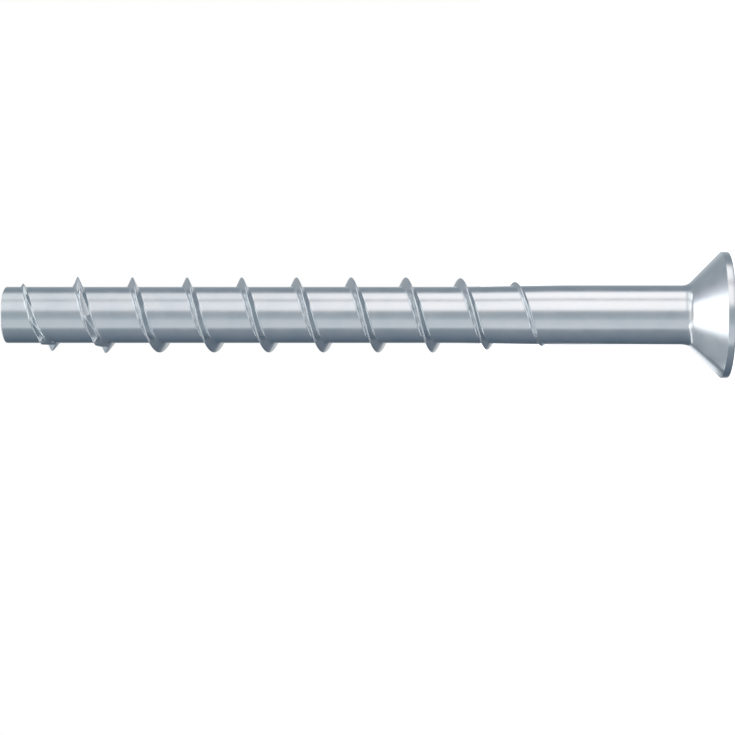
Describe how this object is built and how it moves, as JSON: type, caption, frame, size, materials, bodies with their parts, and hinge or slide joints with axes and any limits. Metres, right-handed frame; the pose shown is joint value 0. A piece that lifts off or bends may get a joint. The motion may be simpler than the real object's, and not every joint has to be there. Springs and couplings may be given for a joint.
{
  "type": "concrete screw",
  "caption": "Countersunk concrete screw with a coarse cutting thread, a saw-toothed lead-in, a plain shank and a six-lobed drive.",
  "frame": {"origin": "centre of the flat head face, which the screw stands on", "axes": "+Z along the screw's axis from the head to the tip; +X is where the crest line passes 2.8 mm below the tip face; +Y follows by the right-hand rule"},
  "size_m": [0.021, 0.021, 0.12],
  "materials": {
    "zinc_plated_steel": "bright zinc plating with a cool bluish cast over smooth cold-formed steel"
  },
  "bodies": {
    "root": {"concrete_screw": "zinc_plated_steel"}
  },
  "joints": []
}
